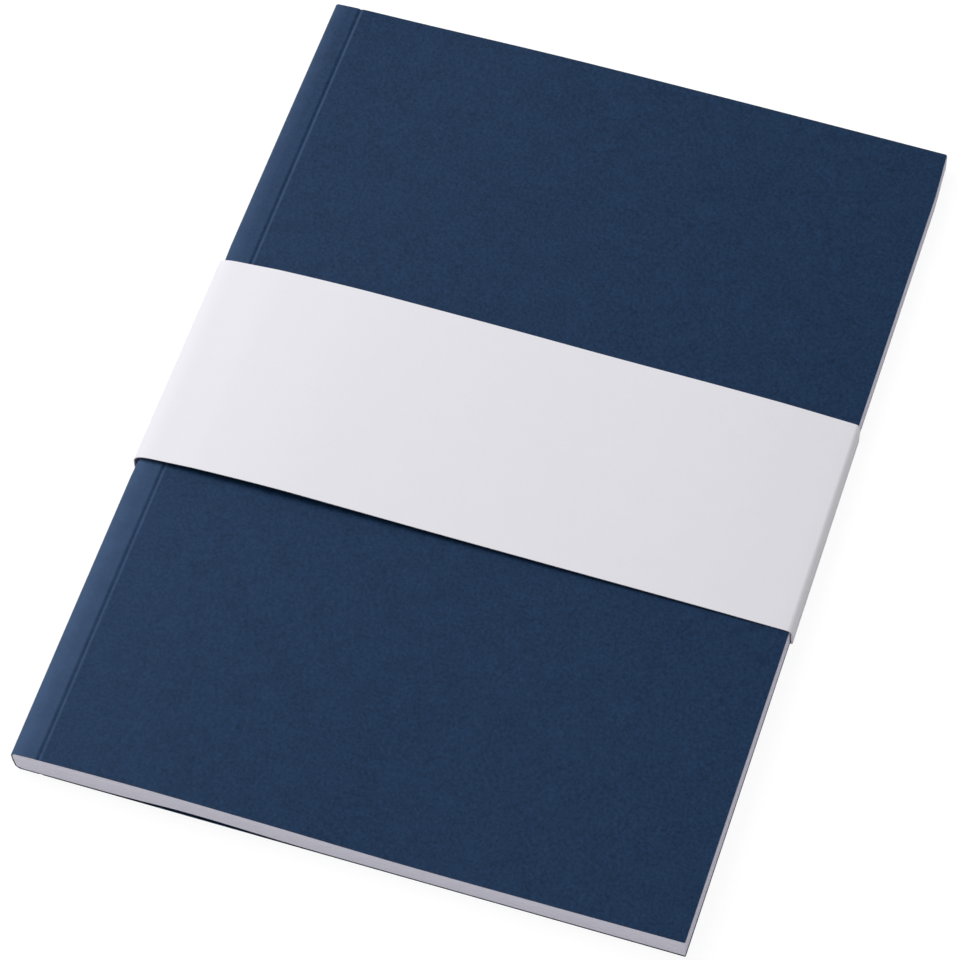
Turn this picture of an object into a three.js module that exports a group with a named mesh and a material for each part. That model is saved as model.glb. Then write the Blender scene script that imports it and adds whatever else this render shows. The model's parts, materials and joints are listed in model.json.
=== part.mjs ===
// A softcover notebook: a scored card cover glued round a block of leaves, held shut by a paper band.
// Millimetres, +Z up. The notebook lies on its back cover with its spine along Y at the low X side,
// its fore edge towards +X and its foot towards -Y. Every piece that bends on the real thing is split
// at its score or fold, so that the cover, the leaves and the spine can open.

import * as THREE from 'three';

// The cover, one card wrapped round the block
const coverWidth = 148;
const coverHeight = 210;
const cardThickness = 0.3;
const foldInnerRadius = 0.08;
const foldArcSteps = 4;
const hingeMargin = 6;
const scoreGap = 0.3;

// The block of leaves and its glue
const leafCount = 44;
const leafThickness = 0.125;
const leafGap = 0.005;
const spineGlueThickness = 0.3;
const sideGlueThickness = 0.08;
const seatGap = 0.005;
const middleGap = 0.02;

// The belly band, a closed paper sleeve that slides along the notebook
const bandWidth = 55.5;
const bandThickness = 0.2;
const bandClearance = 0.1;
const bandSpineSlack = 0.4;
const bandForeSlack = 0.5;
const bandSeamGap = 0.15;
const bandFlapHeight = 5;

// Heights, from the band's underside up to its top
const backCardBottom = bandThickness + bandClearance;
const backCardTop = backCardBottom + cardThickness;
const backGlueBottom = backCardTop + seatGap;
const backGlueTop = backGlueBottom + sideGlueThickness;
const leavesBottom = backGlueTop + seatGap;
const leafPitch = leafThickness + leafGap;
const leavesTop = leavesBottom + leafCount * leafPitch - leafGap;
const frontGlueBottom = leavesTop + seatGap;
const frontGlueTop = frontGlueBottom + sideGlueThickness;
const frontCardBottom = frontGlueTop + seatGap;
const frontCardTop = frontCardBottom + cardThickness;
const bandTopInside = frontCardTop + bandClearance;
const bandTop = bandTopInside + bandThickness;
const middle = (leavesBottom + leavesTop) / 2;

// Places across the width, from the outside of the cover's spine to the fore edge
const spineGlueStart = cardThickness + seatGap;
const leafStart = spineGlueStart + spineGlueThickness + seatGap;
const marginEnd = hingeMargin - scoreGap / 2;
const panelStart = hingeMargin + scoreGap / 2;
const bandSpineOutside = -bandSpineSlack - bandThickness;
const flapInside = coverWidth + bandForeSlack;
const flapOutside = flapInside + bandThickness;
const bandForeInside = flapOutside + bandSeamGap;
const bandForeOutside = bandForeInside + bandThickness;

// Places along the spine, from foot to head
const wholeHeight = [0, coverHeight];
const bandHeight = [(coverHeight - bandWidth) / 2, (coverHeight + bandWidth) / 2];

const navyCard = { color: 0x253952, roughness: 0.85, metalness: 0 };
const whitePaper = { color: 0xe9e8ec, roughness: 0.9, metalness: 0 };
const bindingGlue = { color: 0xe6dfc8, roughness: 0.6, metalness: 0 };
const bandPaper = { color: 0xe0dfe5, roughness: 0.75, metalness: 0 };

const between = (low, high) => low + (high - low) / 2;

function namedMesh(name, geometry, look) {
  const mesh = new THREE.Mesh(geometry, new THREE.MeshStandardMaterial(look));
  mesh.name = name;
  return mesh;
}

// A flat rectangular piece between its two limits along each axis.
function flatPiece(name, look, [x0, x1], [y0, y1], [z0, z1]) {
  const mesh = namedMesh(name, new THREE.BoxGeometry(x1 - x0, y1 - y0, z1 - z0), look);
  mesh.position.set(between(x0, x1), between(y0, y1), between(z0, z1));
  return mesh;
}

// A piece folded once at the spine: a margin at outerZ from the fold to xEnd, and a spine wall from
// the fold to wallEnd. It folds upwards or downwards, whichever way wallEnd lies.
function foldedPiece(name, look, [xFold, xEnd], [y0, y1], [outerZ, wallEnd], thickness) {
  const way = Math.sign(wallEnd - outerZ);
  const outerRadius = foldInnerRadius + thickness;
  const arcX = xFold + outerRadius;
  const arcZ = outerZ + way * outerRadius;
  const marginSide = -way * Math.PI / 2;

  const profile = new THREE.Shape();
  profile.moveTo(xFold, wallEnd);
  profile.lineTo(xFold + thickness, wallEnd);
  profile.absarc(arcX, arcZ, foldInnerRadius, Math.PI, marginSide, way < 0);
  profile.lineTo(xEnd, outerZ + way * thickness);
  profile.lineTo(xEnd, outerZ);
  profile.absarc(arcX, arcZ, outerRadius, marginSide, Math.PI, way > 0);
  profile.closePath();

  const geometry = new THREE.ExtrudeGeometry(profile, {
    depth: y1 - y0,
    bevelEnabled: false,
    curveSegments: foldArcSteps,
  });
  geometry.rotateX(Math.PI / 2);
  const mesh = namedMesh(name, geometry, look);
  mesh.position.y = y1;
  return mesh;
}

// The card: two panels that open, and two halves of the glued spine with their margins.
function cover() {
  const backSkin = [backCardBottom, backCardTop];
  const frontSkin = [frontCardBottom, frontCardTop];
  const panelWidth = [panelStart, coverWidth];
  const marginWidth = [0, marginEnd];
  const backWall = [backCardBottom, middle - middleGap / 2];
  const frontWall = [frontCardTop, middle + middleGap / 2];
  const group = new THREE.Group();
  group.add(
    flatPiece('back_cover_panel', navyCard, panelWidth, wholeHeight, backSkin),
    foldedPiece('back_spine_wrap', navyCard, marginWidth, wholeHeight, backWall, cardThickness),
    foldedPiece('front_spine_wrap', navyCard, marginWidth, wholeHeight, frontWall, cardThickness),
    flatPiece('front_cover_panel', navyCard, panelWidth, wholeHeight, frontSkin),
  );
  return group;
}

// The glue: a layer down each half of the spine, and a strip under each of the card's margins.
function glue() {
  const spineLayer = [spineGlueStart, spineGlueStart + spineGlueThickness];
  const strip = [leafStart, marginEnd];
  const backHalf = [leavesBottom, middle - middleGap / 2];
  const frontHalf = [middle + middleGap / 2, leavesTop];
  const group = new THREE.Group();
  group.add(
    flatPiece('back_spine_glue', bindingGlue, spineLayer, wholeHeight, backHalf),
    flatPiece('front_spine_glue', bindingGlue, spineLayer, wholeHeight, frontHalf),
    flatPiece('back_side_glue', bindingGlue, strip, wholeHeight, [backGlueBottom, backGlueTop]),
    flatPiece('front_side_glue', bindingGlue, strip, wholeHeight, [frontGlueBottom, frontGlueTop]),
  );
  return group;
}

// A leaf's name, counted from the front cover.
function leafName(number) {
  if (number === 1) {
    return 'first_leaf';
  }
  if (number === leafCount) {
    return 'last_leaf';
  }
  return `leaf_${String(number).padStart(2, '0')}`;
}

// The leaves. The first one bends at the score, so its glued margin is a piece of its own.
function block() {
  const group = new THREE.Group();
  for (let number = 1; number <= leafCount; number += 1) {
    const bottom = leavesBottom + (leafCount - number) * leafPitch;
    const height = [bottom, bottom + leafThickness];
    if (number === 1) {
      const margin = [leafStart, marginEnd];
      group.add(flatPiece('first_leaf_margin', whitePaper, margin, wholeHeight, height));
    }
    const width = [number === 1 ? panelStart : leafStart, coverWidth];
    group.add(flatPiece(leafName(number), whitePaper, width, wholeHeight, height));
  }
  return group;
}

// The band, split where the cover under it opens. Its seam is the flap inside the fore edge's strip.
function band() {
  const panelWidth = [panelStart, bandForeOutside];
  const marginWidth = [bandSpineOutside, marginEnd];
  const backWall = [0, middle - middleGap / 2];
  const frontWall = [bandTop, middle + middleGap / 2];
  const flapHeight = [bandThickness + seatGap, bandThickness + seatGap + bandFlapHeight];
  const foreWidth = [bandForeInside, bandForeOutside];
  const foreHeight = [0, bandTopInside - seatGap];
  const group = new THREE.Group();
  group.add(
    flatPiece('band_back_panel', bandPaper, [panelStart, flapOutside], bandHeight, [0, bandThickness]),
    flatPiece('band_glue_flap', bandPaper, [flapInside, flapOutside], bandHeight, flapHeight),
    foldedPiece('band_back_spine', bandPaper, marginWidth, bandHeight, backWall, bandThickness),
    foldedPiece('band_front_spine', bandPaper, marginWidth, bandHeight, frontWall, bandThickness),
    flatPiece('band_front_panel', bandPaper, panelWidth, bandHeight, [bandTopInside, bandTop]),
    flatPiece('band_fore_edge', bandPaper, foreWidth, bandHeight, foreHeight),
  );
  return group;
}

// The whole notebook, with the middle of its footprint over the origin.
const notebook = new THREE.Group();
notebook.add(cover(), glue(), block(), band());
notebook.position.set(-between(bandSpineOutside, bandForeOutside), -coverHeight / 2, 0);

export default notebook;
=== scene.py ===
import json
import math

import bmesh
import bpy
from mathutils import Matrix, Vector


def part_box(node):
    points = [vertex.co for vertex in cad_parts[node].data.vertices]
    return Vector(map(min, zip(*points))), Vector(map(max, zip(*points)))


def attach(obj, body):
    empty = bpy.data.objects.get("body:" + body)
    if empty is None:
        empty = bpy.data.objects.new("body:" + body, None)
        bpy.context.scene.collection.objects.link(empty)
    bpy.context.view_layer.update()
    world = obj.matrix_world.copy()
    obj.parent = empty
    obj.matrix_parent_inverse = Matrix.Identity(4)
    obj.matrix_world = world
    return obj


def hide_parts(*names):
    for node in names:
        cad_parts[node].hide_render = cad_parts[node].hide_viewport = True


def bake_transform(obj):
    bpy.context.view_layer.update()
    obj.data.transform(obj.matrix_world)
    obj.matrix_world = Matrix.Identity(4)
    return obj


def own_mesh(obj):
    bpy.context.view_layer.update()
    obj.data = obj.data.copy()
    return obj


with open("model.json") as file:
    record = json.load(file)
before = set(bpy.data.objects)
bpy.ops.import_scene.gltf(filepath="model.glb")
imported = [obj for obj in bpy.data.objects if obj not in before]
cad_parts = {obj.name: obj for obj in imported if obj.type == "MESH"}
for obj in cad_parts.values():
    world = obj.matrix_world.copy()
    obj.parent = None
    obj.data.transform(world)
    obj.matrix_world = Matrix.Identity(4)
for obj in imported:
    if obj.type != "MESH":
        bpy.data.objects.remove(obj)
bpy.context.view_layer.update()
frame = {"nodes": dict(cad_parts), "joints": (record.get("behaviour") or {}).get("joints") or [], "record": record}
mm = 0.001


cameraView = {
    "azimuth": 19.83,      # degrees, from the foot round towards the fore edge
    "elevation": 57.65,
    "roll": -2.09,
    "distance": 0.989,
    "lens": 168.75,
    "aim": (-0.002525, -0.0071, 0.0),      # the point it looks at, metres
}


def addCamera(settings):
    azimuth = math.radians(settings["azimuth"])
    elevation = math.radians(settings["elevation"])
    roll = math.radians(settings["roll"])
    level = math.cos(elevation)
    back = Vector((math.sin(azimuth) * level, -math.cos(azimuth) * level, math.sin(elevation)))
    flatRight = Vector((0, 0, 1)).cross(back).normalized()
    flatUp = back.cross(flatRight)
    right = math.cos(roll) * flatRight + math.sin(roll) * flatUp
    up = -math.sin(roll) * flatRight + math.cos(roll) * flatUp
    data = bpy.data.cameras.new("camera")
    data.lens = settings["lens"]
    camera = bpy.data.objects.new("camera", data)
    bpy.context.scene.collection.objects.link(camera)
    turn = Matrix((right, up, back)).transposed().to_4x4()
    place = Vector(settings["aim"]) + back * settings["distance"]
    camera.matrix_world = Matrix.Translation(place) @ turn
    bpy.context.scene.camera = camera


addCamera(cameraView)
print("camera placed")


# Places are worked out in millimetres: x from the card's spine towards the fore edge, y from the foot
# towards the head, z up from the band's underside.
spineX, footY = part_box("front_spine_wrap")[0].xy


def place(x, y, z):
    return Vector((spineX + x * mm, footY + y * mm, z * mm))


# A CAD piece's two limits along one axis, in those millimetres.
def span(node, axis):
    start = (spineX, footY, 0.0)[axis]
    low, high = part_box(node)
    return (low[axis] - start) / mm, (high[axis] - start) / mm


coverWidth = span("front_cover_panel", 0)[1]
coverHeight = span("front_cover_panel", 1)[1]
marginEnd = span("front_spine_wrap", 0)[1]
panelStart = span("front_cover_panel", 0)[0]
scoreX = (marginEnd + panelStart) / 2
backCardBottom, backCardTop = span("back_cover_panel", 2)
frontCardBottom, frontCardTop = span("front_cover_panel", 2)
cardThickness = frontCardTop - frontCardBottom
leavesBottom = span("last_leaf", 2)[0]
leavesTop = span("first_leaf", 2)[1]
leafStart = span("last_leaf", 0)[0]
middle = (leavesBottom + leavesTop) / 2
bandFoot, bandHead = span("band_front_panel", 1)
bandBackTop = span("band_back_spine", 2)[1]
bandFrontBottom = span("band_front_spine", 2)[0]
bandThickness = span("band_back_panel", 2)[1]


def smooth(value, low, high):
    share = min(1.0, max(0.0, (value - low) / (high - low)))
    return share * share * (3 - 2 * share)


def spread(low, high, steps):
    return [low + (high - low) * step / steps for step in range(steps + 1)]


# A smooth curve through a few points, read off at one distance.
def along(points, distance):
    distance = min(points[-1][0], max(points[0][0], distance))
    slopes = []
    for index in range(len(points)):
        before = points[max(index - 1, 0)]
        after = points[min(index + 1, len(points) - 1)]
        slopes.append((after[1] - before[1]) / (after[0] - before[0]))
    index = 0
    while index < len(points) - 2 and distance > points[index + 1][0]:
        index += 1
    (startX, startZ), (endX, endZ) = points[index], points[index + 1]
    width = endX - startX
    t = (distance - startX) / width
    rise = (2 * t ** 3 - 3 * t ** 2 + 1) * startZ + (3 * t ** 2 - 2 * t ** 3) * endZ
    lean = (t ** 3 - 2 * t ** 2 + t) * slopes[index] + (t ** 3 - t ** 2) * slopes[index + 1]
    return rise + lean * width


# A real block is never flat: it is pinched at the glued spine and stands a little open towards the
# foot, and its back card rests on the table on both sides of the band.
blockShape = {
    # how far the front lies above a flat block's, along four cuts: (distance from the spine, lift), mm
    "foot": [(0, -0.55), (6, -0.05), (29, 0.5), (56, 0.15), (86, -0.55), (112, -0.35), (148, 0.2)],
    "underBandFoot": [
        (0, -0.8), (6, -0.15), (15, 0.25), (30, 0.45),
        (60, 0.3), (90, 0.05), (120, -0.1), (148, -0.35),
    ],
    "underBandHead": [
        (0, -0.85), (6, -0.25), (15, 0.15), (30, 0.35),
        (60, 0.25), (90, 0.0), (120, -0.5), (148, -1.2),
    ],
    "head": [(0, -1.15), (6, -0.85), (20, -0.7), (55, -0.15), (93, -0.45), (122, -0.9), (148, -1.4)],
    "backDrop": 0.12,       # how far the back card sinks to the table beyond the band
    "dropReach": 22,
    # how far out the glued spine stands, from the back of the block (0) to its front (1)
    "spineOut": [(0, -0.35), (0.25, -0.1), (0.55, 0.15), (0.85, 0.27), (1, 0.2)],
    "spineBow": 0.2,        # and how far it is bowed out in the middle of its length
    "bowEnd": (-4, 2),      # the band holds it back, from outside its edges to inside them, mm
    "spineReach": 6,        # how far in from the spine both are felt
    "headTaper": 0.5,       # how far the fore edge draws in at its head corner
    "taperReach": 13,
    "taperStart": 40,
    # the back card hangs a little away from the leaves at the foot: (x, gap)
    "backGap": [
        (6, 0.05), (16, 0.12), (22, 0.2), (29, 0.52), (35, 1.0), (42, 1.07),
        (49, 0.87), (55, 0.55), (62, 0.26), (70, 0.14), (100, 0.08), (148, 0.1),
    ],
    "gapReach": 30,
}


# Moves a place on the flat block to where it lies on the settled one.
def settle(x, y, z):
    shape = blockShape
    cuts = (("foot", 0), ("underBandFoot", bandFoot), ("underBandHead", bandHead), ("head", coverHeight))
    lift = along([(at, along(shape[cut], x)) for cut, at in cuts], y)
    beyond = max(bandFoot - y, y - bandHead)
    drop = shape["backDrop"] * smooth(beyond, 0, shape["dropReach"])
    height = min(1.0, max(0.0, (z - backCardTop) / (frontCardBottom - backCardTop)))
    bow = shape["spineBow"] * (1 - (2 * y / coverHeight - 1) ** 2)
    swell = along(shape["spineOut"], height) + bow * (1 - smooth(-beyond, *shape["bowEnd"]))
    taper = shape["headTaper"] * smooth(y, coverHeight - shape["taperReach"], coverHeight)
    gap = along(shape["backGap"], x) * (1 - smooth(y, 0, shape["gapReach"]))
    gap *= smooth(z, backCardTop, leavesBottom) * (1 - height)
    shift = swell * (1 - smooth(x, 0, shape["spineReach"]))
    shift += taper * smooth(x, shape["taperStart"], coverWidth)
    return place(x - shift, y, z + lift * height + gap - drop * (1 - height))


def linear(level):
    share = level / 255
    return share / 12.92 if share <= 0.04045 else ((share + 0.055) / 1.055) ** 2.4


# A colour as a screen shows it, 0 to 255, in the linear values that a shader takes.
def tone(red, green, blue):
    return (linear(red), linear(green), linear(blue), 1.0)


class Wire:
    # A number coming out of a node, so that node maths can be written as plain sums.
    def __init__(self, shade, socket):
        self.shade = shade
        self.socket = socket

    def sum(self, operation, first, second):
        return self.shade.node("ShaderNodeMath", {"operation": operation}, {0: first, 1: second})

    def __add__(self, other):
        return self.sum("ADD", self, other)

    def __radd__(self, other):
        return self.sum("ADD", other, self)

    def __sub__(self, other):
        return self.sum("SUBTRACT", self, other)

    def __rsub__(self, other):
        return self.sum("SUBTRACT", other, self)

    def __mul__(self, other):
        return self.sum("MULTIPLY", self, other)

    def __rmul__(self, other):
        return self.sum("MULTIPLY", other, self)


class Shade:
    # One material's node tree, with one method that adds any node.
    def __init__(self, name, tree=None):
        self.material = None
        if tree is None:
            self.material = bpy.data.materials.new(name)
            self.material.use_nodes = True
            tree = self.material.node_tree
        self.tree = tree
        self.tree.nodes.clear()

    def node(self, kind, settings, values, output=0):
        node = self.tree.nodes.new(kind)
        for setting, value in settings.items():
            setattr(node, setting, value)
        for key, value in values.items():
            socket = node.inputs[key]
            if isinstance(value, Wire):
                self.tree.links.new(value.socket, socket)
            else:
                socket.default_value = value
        return Wire(self, node.outputs[output])

    # The place on the object, turned and then divided by a size, for a grain that is stretched.
    def spot(self, size=(1, 1, 1), turn=(0, 0, 0)):
        position = self.node("ShaderNodeTexCoord", {}, {}, "Object")
        values = {"Vector": position, "Rotation": turn, "Scale": size}
        return self.node("ShaderNodeMapping", {"vector_type": "TEXTURE"}, values)

    # Where a spot lies on the notebook, in metres, along one axis.
    def along(self, axis):
        position = self.node("ShaderNodeTexCoord", {}, {}, "Object")
        return self.node("ShaderNodeSeparateXYZ", {}, {0: position}, axis)

    # Goes smoothly from one value to another between two places.
    def ramp(self, along, start, end, first, last):
        return self.node("ShaderNodeMapRange", {"interpolation_type": "SMOOTHSTEP"}, {
            "Value": along,
            "From Min": start,
            "From Max": end,
            "To Min": first,
            "To Max": last,
        })

    # Noise between 0 and 1, evenly on both sides of 0.5.
    def grain(self, vector, scale, detail=2.0, roughness=0.5):
        values = {"Vector": vector, "Scale": scale, "Detail": detail, "Roughness": roughness}
        return self.node("ShaderNodeTexNoise", {}, values, "Fac")

    def bump(self, finish, height):
        values = {"Strength": finish["grainStrength"], "Distance": finish["grainDepth"], "Height": height}
        return self.node("ShaderNodeBump", {}, values)

    def blendColours(self, share, first, second):
        colours = {0: share, 6: first, 7: second}      # a Mix node's sockets 6 and 7 are its colours
        return self.node("ShaderNodeMix", {"data_type": "RGBA"}, colours, 2)

    def done(self, surface, kind="ShaderNodeOutputMaterial"):
        output = self.tree.nodes.new(kind)
        self.tree.links.new(surface.socket, output.inputs["Surface"])
        return self.material


cardFinish = {
    "dark": tone(7, 27, 50),
    "light": tone(28, 51, 79),
    # the cut edges are darker than the face: partly the card's own edge colour, partly painted shade that deepens
    # the dark line along the foot
    "cutDark": tone(12, 15, 36),
    "cutLight": tone(27, 31, 60),
    "fineGrain": 1450,
    "fibreSize": (0.8 * mm, 1.5 * mm, 1.1 * mm),
    "fibreTurn": (0, 0, 0.3),
    "cloudGrain": 210,
    "fineShare": 0.58,      # how much each grain adds to the mottle
    "fibreShare": 0.27,
    "cloudShare": 0.15,
    "contrast": 3.3,
    "roughness": 0.5,
    "roughSpread": 0.12,
    "gloss": 0.2,
    "glossTint": (0.36, 0.55, 1.0, 1.0),
    "grainStrength": 0.6,
    "grainDepth": 0.03 * mm,
    # how far the card's colour is lightened towards a painted highlight: at the spine's edge, on the strip as far
    # as the score at head and foot, and on the score's raised side, where light falls on the card's slopes
    "paintedHighlight": tone(70, 92, 124),
    "edgeHighlight": 0.3,
    "edgeReach": 4,         # mm from the spine
    "stripHighlightHead": 0.07,
    "stripHighlightFoot": 0.32,
    "stripFade": 0.4,
    "ridgeHighlight": 0.36,
    "ridge": 6.35,
    "ridgeReach": 0.5,
    "patchLow": 0.7,        # the painted highlight is patchy
    "patchSpread": 0.6,
}


def navyCard(name, dark, light):
    finish = cardFinish
    shade = Shade(name)
    fine = shade.grain(shade.spot(), finish["fineGrain"], detail=3.0, roughness=0.6)
    fibres = shade.grain(shade.spot(finish["fibreSize"], finish["fibreTurn"]), 1.0)
    cloud = shade.grain(shade.spot(), finish["cloudGrain"], detail=3.0)
    mottle = fine * finish["fineShare"] + fibres * finish["fibreShare"] + cloud * finish["cloudShare"]
    paper = shade.blendColours((mottle - 0.5) * finish["contrast"] + 0.5, dark, light)
    x = shade.along("X")
    edge, edgeEnd, score, ridge = [
        place(at, 0, 0).x for at in (0, finish["edgeReach"], scoreX, finish["ridge"])
    ]
    ridgeReach = finish["ridgeReach"] * mm
    # Painted highlight: lighter colour at the spine's edge, along the hinge strip (more at the foot) and on the
    # score's raised side, in place of light on those slopes.
    strip = shade.ramp(shade.along("Y"), footY, -footY, finish["stripHighlightFoot"], finish["stripHighlightHead"])
    paintedLight = shade.ramp(x, edge, edgeEnd, finish["edgeHighlight"] - finish["stripHighlightHead"], 0)
    paintedLight += shade.ramp(x, score - finish["stripFade"] * mm, score, 1, 0) * strip
    ridgeSide = shade.ramp(x, ridge - ridgeReach, ridge, 0, 1)
    paintedLight += ridgeSide * shade.ramp(x, ridge, ridge + ridgeReach, finish["ridgeHighlight"], 0)
    patches = cloud * finish["patchSpread"] + finish["patchLow"]
    values = {
        "Base Color": shade.blendColours(paintedLight * patches, paper, finish["paintedHighlight"]),
        "Roughness": finish["roughness"] + (fibres - 0.5) * finish["roughSpread"],
        "Specular IOR Level": finish["gloss"],
        "Specular Tint": finish["glossTint"],
        "Normal": shade.bump(finish, fine + fibres),
    }
    return shade.done(shade.node("ShaderNodeBsdfPrincipled", {}, values))


bandFinish = {
    "shade": tone(218, 217, 223),
    "light": tone(225, 224, 230),
    "cutShade": tone(246, 246, 248),
    "cutLight": tone(252, 252, 253),
    "fineGrain": 1500,
    "cloudGrain": 160,
    "roughness": 0.6,
    "roughSpread": 0.1,
    "grainStrength": 0.4,
    "grainDepth": 0.012 * mm,
}


def bandPaper(name, dark, light):
    finish = bandFinish
    shade = Shade(name)
    fine = shade.grain(shade.spot(), finish["fineGrain"], detail=3.0)
    cloud = shade.grain(shade.spot(), finish["cloudGrain"], detail=3.0)
    values = {
        "Base Color": shade.blendColours((fine + cloud) * 0.5, dark, light),
        "Roughness": finish["roughness"] + (cloud - 0.5) * finish["roughSpread"],
        "Normal": shade.bump(finish, fine),
    }
    return shade.done(shade.node("ShaderNodeBsdfPrincipled", {}, values))


leafFinish = {
    "shade": tone(219, 217, 231),
    "light": tone(230, 229, 241),
    "fineGrain": 1700,
    "layerSize": (16.7 * mm, 16.7 * mm, 0.19 * mm),      # leaf by leaf, seen on the cut sides
    "layerShare": 0.6,
    "roughness": 0.85,
    "roughSpread": 0.1,
    "grainStrength": 0.4,
    "grainDepth": 0.007 * mm,
}


def leafPaper():
    finish = leafFinish
    shade = Shade("white_leaf_paper")
    fine = shade.grain(shade.spot(), finish["fineGrain"], detail=3.0)
    layers = shade.grain(shade.spot(finish["layerSize"]), 1.0)
    mottle = fine * (1 - finish["layerShare"]) + layers * finish["layerShare"]
    values = {
        "Base Color": shade.blendColours(mottle, finish["shade"], finish["light"]),
        "Roughness": finish["roughness"] + (fine - 0.5) * finish["roughSpread"],
        "Normal": shade.bump(finish, fine),
    }
    return shade.done(shade.node("ShaderNodeBsdfPrincipled", {}, values))


glueFinish = {
    "thin": tone(228, 225, 224),
    "thick": tone(216, 212, 206),
    "lumps": 420,
    "roughness": 0.35,
    "roughSpread": 0.2,
    "grainStrength": 0.5,
    "grainDepth": 0.04 * mm,
}


def spineGlue():
    finish = glueFinish
    shade = Shade("cream_binding_glue")
    lumps = shade.grain(shade.spot(), finish["lumps"])
    values = {
        "Base Color": shade.blendColours(lumps, finish["thin"], finish["thick"]),
        "Roughness": finish["roughness"] + (lumps - 0.5) * finish["roughSpread"],
        "Normal": shade.bump(finish, lumps),
    }
    return shade.done(shade.node("ShaderNodeBsdfPrincipled", {}, values))


card = navyCard("navy_uncoated_card", cardFinish["dark"], cardFinish["light"])
cardCut = navyCard("navy_card_cut", cardFinish["cutDark"], cardFinish["cutLight"])
bandFace = bandPaper("smooth_band_paper", bandFinish["shade"], bandFinish["light"])
bandCut = bandPaper("band_paper_cut", bandFinish["cutShade"], bandFinish["cutLight"])
pagePaper = leafPaper()
glue = spineGlue()
print("materials made")


def newPiece(name, mesh, *materials):
    piece = bpy.data.objects.new(name, mesh)
    bpy.context.scene.collection.objects.link(piece)
    mesh.materials.clear()
    for material in materials:
        mesh.materials.append(material)
    return piece


sharpAngle = math.radians(40)      # a sheet's cut edges are sharp, its bends aren't


# A bent sheet of card, paper or glue. Each row is one cut across it: pairs of outside and inside corners.
# A second material goes on the cut edges.
def sheetPiece(name, rows, *materials):
    shape = bmesh.new()
    grid = []
    for row in rows:
        grid.append([(shape.verts.new(outside), shape.verts.new(inside)) for outside, inside in row])

    def addFace(corners, cut):
        face = shape.faces.new(corners)
        face.material_index = cut if len(materials) > 1 else 0
        face.smooth = not cut

    for row, nextRow in zip(grid, grid[1:]):
        for near, far, nextFar, nextNear in zip(row, row[1:], nextRow[1:], nextRow):
            addFace((near[0], far[0], nextFar[0], nextNear[0]), 0)
            addFace((nextNear[1], nextFar[1], far[1], near[1]), 0)
        for end in (0, -1):
            addFace((row[end][0], nextRow[end][0], nextRow[end][1], row[end][1]), 1)
    for row in (grid[0], grid[-1]):
        for near, far in zip(row, row[1:]):
            addFace((near[0], near[1], far[1], far[0]), 1)
    bmesh.ops.recalc_face_normals(shape, faces=shape.faces)
    mesh = bpy.data.meshes.new(name)
    shape.to_mesh(mesh)
    shape.free()
    mesh.set_sharp_from_angle(angle=sharpAngle)
    return newPiece(name, mesh, *materials)


# Pairs each point of a sheet's outside line with the one on its inside, square to it.
def thicken(line, thickness):
    pairs = []
    for index, point in enumerate(line):
        before = line[max(index - 1, 0)]
        after = line[min(index + 1, len(line) - 1)]
        across = Vector((after[0] - before[0], after[1] - before[1])).normalized()
        pairs.append((point, (point[0] + across.y * thickness, point[1] - across.x * thickness)))
    return pairs


def arc(centre, radius, start, end, steps):
    turns = [math.radians(angle) for angle in spread(start, end, steps)]
    return [(centre[0] + radius * math.cos(turn), centre[1] + radius * math.sin(turn)) for turn in turns]


coverShape = {
    "rows": 44,
    "endStrip": 3,          # the plain rows and columns keep this far from the cut edges, mm
    "nearColumns": 8,
    "nearEnd": 16,
    "farColumns": 38,
    "cornerRadius": 0.25,
    "cornerSteps": 4,
    "backFold": 1.2,        # outside radii where the spine is folded, mm
    "frontFold": 0.8,
    "scoreDepth": 0.24,
    "scoreReach": 0.7,      # half the width of the pressed line
    "scoreFlat": 0.05,      # half the width of its bottom
    "scoreThrough": 0.3,    # the share of it that shows on the inside
    "scoreSteps": 5,
    "creaseSteps": 12,
    "backFoldSteps": 8,
    "frontFoldSteps": 6,
    "bendZone": 0.6,        # how far from its middle the spine bends when the notebook opens there
    "bendSteps": 12,
    "footTrimSpine": 0.05,  # the card was trimmed a hair out of square with the leaves
    "footTrimFore": -0.16,
    "foreTrim": 0.1,
    "backStand": 0.13,      # how far the back card stands out past the leaves at its foot corner
    "trimStart": 20,        # where the fore edge's trim and stand begin, mm from the spine
    "webThickness": 0.2,    # of the web inside the front score, a share of the card's
    "webOverlap": 0.05,
    "webSink": 0.01,        # how far it lies under the bottom of the groove
    "webColumns": 10,
}
cornerTurns = spread(0, math.pi / 2, coverShape["cornerSteps"])
cornerSteps = [coverShape["cornerRadius"] * (1 - math.cos(turn)) for turn in cornerTurns]
endStrip = coverShape["endStrip"]
coverRows = cornerSteps + spread(endStrip, coverHeight - endStrip, coverShape["rows"])
coverRows += [coverHeight - step for step in cornerSteps[::-1]]


def scored(x):
    flat, reach = coverShape["scoreFlat"], coverShape["scoreReach"]
    return coverShape["scoreDepth"] * (1 - smooth(abs(x - scoreX), flat, reach))


# The two corners of a card at the fore edge are rounded a little.
def corner(x, y):
    radius = coverShape["cornerRadius"]
    inwards = radius - min(y, coverHeight - y)
    if inwards <= 0 or x <= coverWidth - radius:
        return x
    share = math.sqrt(max(0, 1 - (inwards / radius) ** 2))
    return coverWidth - radius + (x - coverWidth + radius) * share


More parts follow.
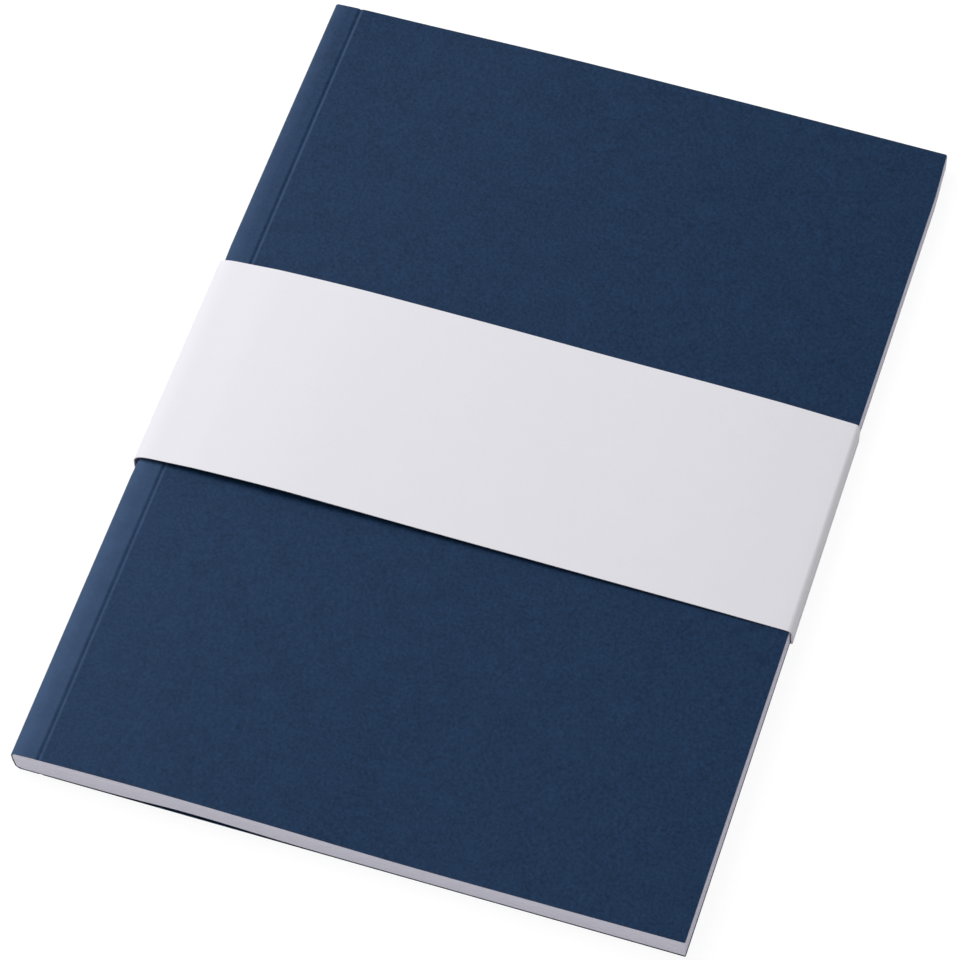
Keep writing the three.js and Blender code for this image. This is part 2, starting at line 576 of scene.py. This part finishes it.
# The front card is trimmed out of square, and so is the spine's upper half. The back card stands out.
def trimmed(x, y, z):
    skew = coverShape["footTrimFore"] - coverShape["footTrimSpine"]
    trim = (coverShape["footTrimSpine"] + skew * x / coverWidth) * (1 - y / coverHeight)
    share = smooth(z, middle, leavesTop)
    stand = coverShape["backStand"] * (1 - share) * (1 - y / coverHeight)
    stand -= coverShape["foreTrim"] * share
    foreSide = smooth(x, coverShape["trimStart"], coverWidth)
    return settle(corner(x, y) + stand * foreSide, y + trim * share, z)


def coverPiece(name, pairs):
    rows = [[[trimmed(x, y, z) for x, z in pair] for pair in pairs] for y in coverRows]
    return sheetPiece(name, rows, card, cardCut)


# The outside of the card's spine piece, from the back score round the spine to the front score.
def spineLine():
    shape = coverShape
    backFold, frontFold, bend = shape["backFold"], shape["frontFold"], shape["bendZone"]
    lowCentre = (backFold, backCardBottom + backFold)
    highCentre = (frontFold, frontCardTop - frontFold)
    creaseFrom = marginEnd - shape["scoreReach"]
    creaseSteps = spread(creaseFrom, marginEnd, shape["scoreSteps"])
    bottom = [(x, backCardBottom + scored(x)) for x in spread(marginEnd, creaseFrom, shape["scoreSteps"])]
    bottom += [(x, backCardBottom) for x in spread(creaseFrom, backFold, 3)[1:-1]]
    lowFold = arc(lowCentre, backFold, 270, 180, shape["backFoldSteps"])
    wall = [(0, z) for z in spread(lowFold[-1][1], middle - bend, 3)[1:-1]]
    wall += [(0, z) for z in spread(middle - bend, middle + bend, shape["bendSteps"])]
    wall += [(0, z) for z in spread(middle + bend, highCentre[1], 4)[1:-1]]
    highFold = arc(highCentre, frontFold, 180, 90, shape["frontFoldSteps"])
    top = [(x, frontCardTop) for x in spread(frontFold, creaseFrom, 4)[1:-1]]
    top += [(x, frontCardTop - scored(x)) for x in creaseSteps]
    return bottom + lowFold + wall + highFold + top


cardSpine = coverPiece("card_spine", thicken(spineLine(), cardThickness))
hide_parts("back_spine_wrap", "front_spine_wrap")
bendLow = place(0, 0, middle - coverShape["bendZone"])
bendHigh = place(0, 0, middle + coverShape["bendZone"])
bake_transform(cardSpine)


def panelSteps():
    steps = spread(marginEnd, panelStart + coverShape["scoreReach"], coverShape["creaseSteps"])
    steps += spread(steps[-1], coverShape["nearEnd"], coverShape["nearColumns"])[1:]
    steps += spread(steps[-1], coverWidth - endStrip, coverShape["farColumns"])[1:]
    return steps + [coverWidth - step for step in cornerSteps[::-1]]


def panelPairs(outsideZ, towardsInside):
    pairs = []
    for x in panelSteps():
        pressed = scored(x) * towardsInside
        outside = (x, outsideZ + pressed)
        inside = (x, outsideZ + towardsInside * cardThickness + pressed * coverShape["scoreThrough"])
        pairs.append((outside, inside))
    return pairs


def foldAt(z):
    return place(marginEnd, 0, z), place(panelStart, 0, z)


cardFront = coverPiece("card_front", panelPairs(frontCardTop, -1))
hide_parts("front_cover_panel")
foldAt(frontCardTop)
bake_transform(cardFront)

cardBack = coverPiece("card_back", panelPairs(backCardBottom, 1))
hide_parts("back_cover_panel")
foldAt(backCardBottom)
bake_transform(cardBack)

# Inside the card at the score: what keeps the hinge closed when the first leaf turns with the cover.
webTop = frontCardTop - coverShape["scoreDepth"] - coverShape["webSink"]
webStart = marginEnd - coverShape["webOverlap"]
webEnd = panelStart + coverShape["webOverlap"]
webLine = [(x, webTop) for x in spread(webStart, webEnd, coverShape["webColumns"])]
cardHinge = coverPiece("card_hinge", thicken(webLine, coverShape["webThickness"] * cardThickness))
foldAt(frontCardTop)
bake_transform(cardHinge)
print("card cover made")


leafStack = {
    "thickness": 0.122,
    "stray": 0.025,        # how far a leaf may stand out of line with its neighbours, mm
    "rows": 17,
    "columns": 38,
    "bendColumns": 150,    # for a leaf that bends at the spine
    "bendReach": 12,       # how far from the spine a turning leaf is still bent
    "cornerRadius": 0.6,
    "shiftReach": 8,
    "backSeed": 11,
    "frontSeed": 23,
    "marginColumns": 4,
    "hingeColumns": 10,
    "pageColumns": 45,
}
# the leaves by number, and the first and last one, which are named
leafCount = sum(1 for node in frame["nodes"] if node.startswith("leaf_")) + 2
firstBottom = span("first_leaf", 2)[0]
leafPitch = (firstBottom - leavesBottom) / (leafCount - 1)


def leafTree():
    tree = bpy.data.node_groups.new("leaf_stack", "GeometryNodeTree")
    face = tree.interface
    face.new_socket("Geometry", in_out="OUTPUT", socket_type="NodeSocketGeometry")
    face.new_socket("Leaves", in_out="INPUT", socket_type="NodeSocketInt")
    face.new_socket("Columns", in_out="INPUT", socket_type="NodeSocketInt")
    face.new_socket("Rows", in_out="INPUT", socket_type="NodeSocketInt")
    face.new_socket("Size", in_out="INPUT", socket_type="NodeSocketVector")
    face.new_socket("Lowest", in_out="INPUT", socket_type="NodeSocketVector")
    face.new_socket("Pitch", in_out="INPUT", socket_type="NodeSocketVector")
    face.new_socket("Stray", in_out="INPUT", socket_type="NodeSocketVector")
    face.new_socket("Seed", in_out="INPUT", socket_type="NodeSocketInt")
    face.new_socket("Paper", in_out="INPUT", socket_type="NodeSocketMaterial")
    given = tree.nodes.new("NodeGroupInput").outputs

    def add(kind, settings, values):
        node = tree.nodes.new(kind)
        for setting, value in settings.items():
            setattr(node, setting, value)
        for key, value in values.items():
            if isinstance(value, bpy.types.NodeSocket):
                tree.links.new(value, node.inputs[key])
            else:
                node.inputs[key].default_value = value
        return node

    leaf = add("GeometryNodeMeshCube", {}, {
        "Size": given["Size"],
        "Vertices X": given["Columns"],
        "Vertices Y": given["Rows"],
        "Vertices Z": 2,
    })
    places = add("GeometryNodeMeshLine", {"mode": "OFFSET"}, {
        "Count": given["Leaves"],
        "Start Location": given["Lowest"],
        "Offset": given["Pitch"],
    })
    stack = add("GeometryNodeInstanceOnPoints", {}, {
        "Points": places.outputs["Mesh"],
        "Instance": leaf.outputs["Mesh"],
    })
    otherWay = add("ShaderNodeVectorMath", {"operation": "SCALE"}, {0: given["Stray"], "Scale": -1.0})
    stray = add("FunctionNodeRandomValue", {"data_type": "FLOAT_VECTOR"}, {
        0: otherWay.outputs[0],
        1: given["Stray"],
        "Seed": given["Seed"],
    })
    knocked = add("GeometryNodeTranslateInstances", {}, {
        "Instances": stack.outputs["Instances"],
        "Translation": stray.outputs[0],
    })
    solid = add("GeometryNodeRealizeInstances", {}, {"Geometry": knocked.outputs["Instances"]})
    finished = add("GeometryNodeSetMaterial", {}, {
        "Geometry": solid.outputs["Geometry"],
        "Material": given["Paper"],
    })
    result = tree.nodes.new("NodeGroupOutput")
    tree.links.new(finished.outputs["Geometry"], result.inputs["Geometry"])
    return tree


leafNodes = leafTree()


# How much further in a leaf starts at the rounded fold of the spine than the others.
def foldShift(z):
    radius = leafStack["cornerRadius"]
    centre = backCardBottom + coverShape["backFold"]
    if z >= centre:
        return 0
    return radius - math.sqrt(max(0, radius ** 2 - (centre - z) ** 2))


def leavesPiece(name, leaves, lowest, columns, seed):
    thickness = leafStack["thickness"]
    width = coverWidth - leafStart
    stray = leafStack["stray"] * mm
    wanted = {
        "Leaves": leaves,
        "Columns": columns,
        "Rows": leafStack["rows"],
        "Size": (width * mm, coverHeight * mm, thickness * mm),
        "Lowest": place(leafStart + width / 2, coverHeight / 2, lowest + thickness / 2),
        "Pitch": (0, 0, leafPitch * mm),
        "Stray": (stray, stray, 0),
        "Seed": seed,
        "Paper": pagePaper,
    }
    maker = bpy.data.objects.new(name + "_maker", bpy.data.meshes.new(name + "_maker"))
    bpy.context.scene.collection.objects.link(maker)
    modifier = maker.modifiers.new("leaves", "NODES")
    modifier.node_group = leafNodes
    for socket in leafNodes.interface.items_tree:
        if socket.in_out == "INPUT":
            modifier[socket.identifier] = wanted[socket.name]
    ready = maker.evaluated_get(bpy.context.evaluated_depsgraph_get())
    mesh = bpy.data.meshes.new_from_object(ready)
    mesh.name = name
    maker.modifiers.clear()
    bpy.data.objects.remove(maker)
    for vertex in mesh.vertices:
        x = (vertex.co.x - spineX) / mm
        y = (vertex.co.y - footY) / mm
        z = vertex.co.z / mm
        x += foldShift(z) * (1 - smooth(x, leafStart, leafStart + leafStack["shiftReach"]))
        vertex.co = settle(x, y, z)
    mesh.shade_smooth()
    mesh.set_sharp_from_angle(angle=sharpAngle)
    return newPiece(name, mesh, pagePaper)


def leafNode(number):
    if number == 1:
        return "first_leaf"
    return "last_leaf" if number == leafCount else f"leaf_{number:02d}"


def leafHeight(number):
    return leavesBottom + (leafCount - number) * leafPitch


fanLeaves = {}
for joint in frame["joints"]:
    if joint["child"].startswith("fan_leaf_"):
        fanLeaves[joint["child"]] = frame["record"]["behaviour"]["bodies"][joint["child"]][0]
fanNumbers = sorted(int(node[-2:]) for node in fanLeaves.values())


# The leaves that stay together, between two numbers counted from the front.
def packPiece(name, first, last, seed, body):
    pack = leavesPiece(name, last - first + 1, leafHeight(last), leafStack["columns"], seed)
    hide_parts(*[leafNode(number) for number in range(first, last + 1)])
    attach(pack, body)


packPiece("page_block_back", fanNumbers[-1] + 1, leafCount, leafStack["backSeed"], "back_half")
packPiece("page_block_front", 2, fanNumbers[0] - 1, leafStack["frontSeed"], "front_half")

bendStart = place(leafStart, 0, middle)
bendEnd = place(leafStart + leafStack["bendReach"], 0, middle)
for body, node in fanLeaves.items():
    number = int(node[-2:])
    turning = leavesPiece("page_" + node[-2:], 1, leafHeight(number), leafStack["bendColumns"], number)
    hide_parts(node)
    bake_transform(turning)

# The first page, from its glued margin over the score to the fore edge.
pageSteps = spread(leafStart, marginEnd, leafStack["marginColumns"])[:-1]
pageSteps += spread(marginEnd, panelStart, leafStack["hingeColumns"])[:-1]
pageSteps += spread(panelStart, coverWidth, leafStack["pageColumns"])
pageTop = leafHeight(1) + leafStack["thickness"]
pageRows = []
for y in coverRows:
    pageRows.append([(settle(x, y, pageTop), settle(x, y, leafHeight(1))) for x in pageSteps])
firstPage = sheetPiece("page_01", pageRows, pagePaper)
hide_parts("first_leaf", "first_leaf_margin")
foldAt(pageTop)
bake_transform(firstPage)
print("leaves made:", leafCount)


glueShape = {
    "start": 0.305,        # from the card's outside, mm
    "thickness": 0.29,
    "sideThickness": 0.075,
    "sideStart": 1.9,
    "sideEnd": 5.1,        # short of the score's groove
    "rows": 30,
    "endGap": 0.05,        # how far it stays back from head and foot
    "topGap": 0.35,        # and from the top of the leaves
    "halfGap": 0.01,       # and from the middle, where the notebook opens
    "foldStart": 230,      # degrees round the fold
    "foldSteps": 6,
    "sideInset": 0.1,
}


def gluePiece(name, line, thickness, node, body):
    rows = []
    for y in spread(glueShape["endGap"], coverHeight - glueShape["endGap"], glueShape["rows"]):
        rows.append([(settle(a[0], y, a[1]), settle(b[0], y, b[1])) for a, b in thicken(line, thickness)])
    piece = sheetPiece(name, rows, glue)
    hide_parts(node)
    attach(piece, body)


foldRadius = coverShape["backFold"]
foldCentre = (foldRadius, backCardBottom + foldRadius)
halfGap, glueX = glueShape["halfGap"], glueShape["start"]
backGlue = arc(foldCentre, foldRadius - glueX, glueShape["foldStart"], 180, glueShape["foldSteps"])
backGlue += [(glueX, z) for z in spread(foldCentre[1], middle - halfGap, 4)[1:]]
frontGlue = [(glueX, z) for z in spread(middle + halfGap, leavesTop - glueShape["topGap"], 5)]
gluePiece("spine_glue_back", backGlue, glueShape["thickness"], "back_spine_glue", "back_half")
gluePiece("spine_glue_front", frontGlue, glueShape["thickness"], "front_spine_glue", "front_half")
backSideX = spread(glueShape["sideEnd"], glueShape["sideStart"], 4)
backSide = [(x, span("back_side_glue", 2)[0]) for x in backSideX]
frontSideX = spread(leafStart + glueShape["sideInset"], glueShape["sideEnd"], 5)
frontSide = [(x, span("front_side_glue", 2)[1]) for x in frontSideX]
gluePiece("side_glue_back", backSide, glueShape["sideThickness"], "back_side_glue", "back_half")
gluePiece("side_glue_front", frontSide, glueShape["sideThickness"], "front_side_glue", "front_half")
print("glue made")


bandShape = {
    "rows": 12,
    # how high the band's outside stands: (distance from the card's spine, height), mm
    "crownFoot": [
        (6, 7.7), (9, 8.0), (14, 8.42), (31, 8.95), (48, 8.65),
        (68, 8.2), (90, 7.85), (127, 7.3), (148, 6.75),
    ],
    "crownHead": [
        (6, 7.27), (9, 7.58), (14, 8.05), (31, 8.6), (48, 8.5),
        (68, 8.2), (90, 7.65), (127, 7.0), (148, 5.85),
    ],
    "spineFoot": -1.5,     # where its spine side stands at its foot end and its head end
    "spineHead": -1.45,
    "wallTop": 4.3,
    "pullFoot": 7.45,      # how high the fold over the spine reaches before it turns in
    "pullHead": 6.85,
    "pullX": 2.2,
    "slopeReach": 0.5,
    "foldSteps": 18,
    "crownSplit": 20,      # the columns lie closer on the spine's side of this distance
    "nearColumns": 10,
    "farColumns": 44,
    "foldEnd": 147.3,
    "foreFoot": 148.68,    # how far out the fore side stands at its foot end and its head end
    "foreHead": 148.46,
    "foreDrop": 1.5,
    "forePull": 0.7,
    "foreBend": 0.6,       # how sharply it turns down, a share of the way out
    "foreSteps": 10,
    "foreRadius": 0.5,
    "hemTurn": -70,        # degrees that it turns in under the notebook
    "hemSteps": 5,
    "backFold": 1.7,
    "backFoldSteps": 8,
    "backColumns": 30,
    "skewFoot": 1.0,       # the sleeve was folded a little askew, which shows under its fore edge
    "skewHead": -0.8,
    "skewHeight": 6,
    "flapGap": 0.02,
    "flapThickness": 0.18,
    "flapSteps": 6,
    "seam": 0.05,          # room at the back score, so that the two sheets clear each other
    # what is left of the folds' reach when the notebook is open in its middle, and by how many degrees
    # they are pressed up or down too, clear of the card's corners
    "pressed": 0.88,
    "pressTurn": 26,
}
bandRows = spread(bandFoot, bandHead, bandShape["rows"])


def between(foot, head, y):
    return foot + (head - foot) * (y - bandFoot) / (bandHead - bandFoot)


def spineSide(y):
    return between(bandShape["spineFoot"], bandShape["spineHead"], y)


def crown(x, y):
    return between(along(bandShape["crownFoot"], x), along(bandShape["crownHead"], x), y)


def bezier(points, steps):
    curve = []
    for t in spread(0, 1, steps):
        weights = ((1 - t) ** 3, 3 * t * (1 - t) ** 2, 3 * t * t * (1 - t), t ** 3)
        curve.append(tuple(sum(w * p[axis] for w, p in zip(weights, points)) for axis in (0, 1)))
    return curve


def frontFoldLine(y):
    lowPull = between(bandShape["pullFoot"], bandShape["pullHead"], y)
    pullX, reach = bandShape["pullX"], bandShape["slopeReach"]
    high = crown(scoreX, y)
    slope = (crown(scoreX + reach, y) - high) / reach
    highPull = high - slope * (scoreX - pullX)
    wallX, wallTop = spineSide(y), bandShape["wallTop"]
    wall = [(wallX, z) for z in spread(bandFrontBottom, wallTop, 2)[:-1]]
    corners = [(wallX, wallTop), (wallX, lowPull), (pullX, highPull), (scoreX, high)]
    return wall + bezier(corners, bandShape["foldSteps"])


def foreSide(y):
    return between(bandShape["foreFoot"], bandShape["foreHead"], y)


def frontSheetLine(y):
    foldEnd, foreX, split = bandShape["foldEnd"], foreSide(y), bandShape["crownSplit"]
    topSteps = spread(scoreX, split, bandShape["nearColumns"])
    topSteps += spread(split, foldEnd, bandShape["farColumns"])[1:]
    top = [(x, crown(x, y)) for x in topSteps]
    high = top[-1][1]
    low = high - bandShape["foreDrop"]
    slope = (high - top[-2][1]) / (foldEnd - top[-2][0])
    reach = bandShape["foreBend"] * (foreX - foldEnd)
    highPull = (foldEnd + reach, high + slope * reach)
    lowPull = (foreX, low + bandShape["forePull"])
    corners = [(foldEnd, high), highPull, lowPull, (foreX, low)]
    radius = bandShape["foreRadius"]
    side = [(foreX, z) for z in spread(low, radius, 4)[1:]]
    hem = arc((foreX - radius, radius), radius, 0, bandShape["hemTurn"], bandShape["hemSteps"])
    return top + bezier(corners, bandShape["foreSteps"])[1:] + side + hem[1:]


def backFoldLine(y):
    radius, wallX = bandShape["backFold"], spineSide(y)
    flat = [(x, 0) for x in spread(scoreX - bandShape["seam"], wallX + radius, 4)[:-1]]
    fold = arc((wallX + radius, radius), radius, 270, 180, bandShape["backFoldSteps"])
    return flat + fold + [(wallX, z) for z in spread(radius, bandBackTop, 4)[1:]]


def askew(x, y, z):
    down = 1 - min(1.0, max(0.0, z / bandShape["skewHeight"]))
    skew = between(bandShape["skewFoot"], bandShape["skewHead"], y)
    return place(x, y + skew * down * smooth(x, 0, coverWidth), z)


def bandPiece(name, lineAt, nodes, body, thickness=bandThickness):
    rows = []
    for y in bandRows:
        rows.append([[askew(x, y, z) for x, z in pair] for pair in thicken(lineAt(y), thickness)])
    piece = sheetPiece(name, rows, bandFace, bandCut)
    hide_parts(*nodes)
    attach(piece, body)
    return piece


flapLow, flapHigh = span("band_glue_flap", 2)


def flapX(y):
    return foreSide(y) - bandThickness - bandShape["flapGap"]


def backSheetLine(y):
    return [(x, 0) for x in spread(flapX(y), scoreX + bandShape["seam"], bandShape["backColumns"])]


def flapLine(y):
    return [(flapX(y), z) for z in spread(flapHigh, flapLow, bandShape["flapSteps"])]


bandPiece("band_front_sheet", frontSheetLine, ["band_front_panel", "band_fore_edge"], "band_front")
frontFold = bandPiece("band_front_fold", frontFoldLine, ["band_front_spine"], "band_front_spine")
backFold = bandPiece("band_back_fold", backFoldLine, ["band_back_spine"], "band_back_spine")
bandPiece("band_back_sheet", backSheetLine, ["band_back_panel"], "band_back")
bandPiece("band_flap", flapLine, ["band_glue_flap"], "band_back", bandShape["flapThickness"])

# The two folds get meshes of their own.
frontEnd = place(scoreX, 0, crown(scoreX, coverHeight / 2))
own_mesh(frontFold)
place(scoreX, 0, 0)
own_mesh(backFold)
print("paper band made")


studio = {
    "floorSize": 6.0,
    "floorClear": (0.9, 0.9, 0.9, 1),      # the white behind shows through the floor
    "floorShadow": (0.14, 0.14, 0.14, 1),
    "floorPaint": (0.8, 0.8, 0.8, 1),
    "skySeen": 1.0,        # the sky's strength where it is seen, and how much it lights the notebook
    "skyTop": 0.32,
    "skySide": 0.76,
    "keyPower": 6.65,
    "keySize": 0.7,
    "keyPlace": (-0.52, 0.25, 0.74),
    "floorDrop": 0.02,     # below the band's underside, mm
}


def addFloor():
    shape = bmesh.new()
    half, height = studio["floorSize"] / 2, -studio["floorDrop"] * mm
    corners = ((-half, -half), (half, -half), (half, half), (-half, half))
    shape.faces.new([shape.verts.new((x, y, height)) for x, y in corners])
    mesh = bpy.data.meshes.new("floor")
    shape.to_mesh(mesh)
    shape.free()
    shade = Shade("pale_floor")
    paint = shade.node("ShaderNodeBsdfDiffuse", {}, {"Color": studio["floorPaint"]})
    thin = shade.node("ShaderNodeBsdfDiffuse", {}, {"Color": studio["floorShadow"]})
    through = shade.node("ShaderNodeBsdfTransparent", {}, {"Color": studio["floorClear"]})
    seen = shade.node("ShaderNodeAddShader", {}, {0: thin, 1: through})
    toCamera = shade.node("ShaderNodeLightPath", {}, {}, "Is Camera Ray")
    top = shade.node("ShaderNodeMixShader", {}, {0: toCamera, 1: paint, 2: seen})
    below = shade.node("ShaderNodeNewGeometry", {}, {}, "Backfacing")
    clear = shade.node("ShaderNodeBsdfTransparent", {}, {})
    surface = shade.node("ShaderNodeMixShader", {}, {0: below, 1: top, 2: clear})
    floor = newPiece("floor", mesh, shade.done(surface))


def addLights():
    world = bpy.data.worlds.new("studio")
    world.use_nodes = True
    bpy.context.scene.world = world
    sky = Shade("sky", world.node_tree)
    direction = sky.node("ShaderNodeTexCoord", {}, {}, "Generated")
    height = sky.node("ShaderNodeSeparateXYZ", {}, {0: direction}, "Z")
    level = sky.node("ShaderNodeMapRange", {}, {
        "Value": height,
        "To Min": studio["skySide"],
        "To Max": studio["skyTop"],
    })
    rays = ("Is Camera Ray", "Is Glossy Ray", "Is Transmission Ray")
    camera, glossy, transmitted = [sky.node("ShaderNodeLightPath", {}, {}, ray) for ray in rays]
    seen = sky.node("ShaderNodeMath", {"operation": "MAXIMUM"}, {0: camera, 1: glossy})
    seen = sky.node("ShaderNodeMath", {"operation": "MAXIMUM"}, {0: seen, 1: transmitted})
    strength = sky.node("ShaderNodeMix", {}, {0: seen, 2: level, 3: studio["skySeen"]})
    light = sky.node("ShaderNodeBackground", {}, {"Color": (1, 1, 1, 1), "Strength": strength})
    sky.done(light, "ShaderNodeOutputWorld")

    data = bpy.data.lights.new("key", "AREA")
    data.energy = studio["keyPower"]
    data.size = studio["keySize"]
    key = bpy.data.objects.new("key", data)
    bpy.context.scene.collection.objects.link(key)
    key.location = studio["keyPlace"]
    key.rotation_euler = (-Vector(studio["keyPlace"])).to_track_quat("-Z", "Y").to_euler()


addFloor()
addLights()
bpy.context.scene.view_settings.view_transform = "Standard"
print("studio made")
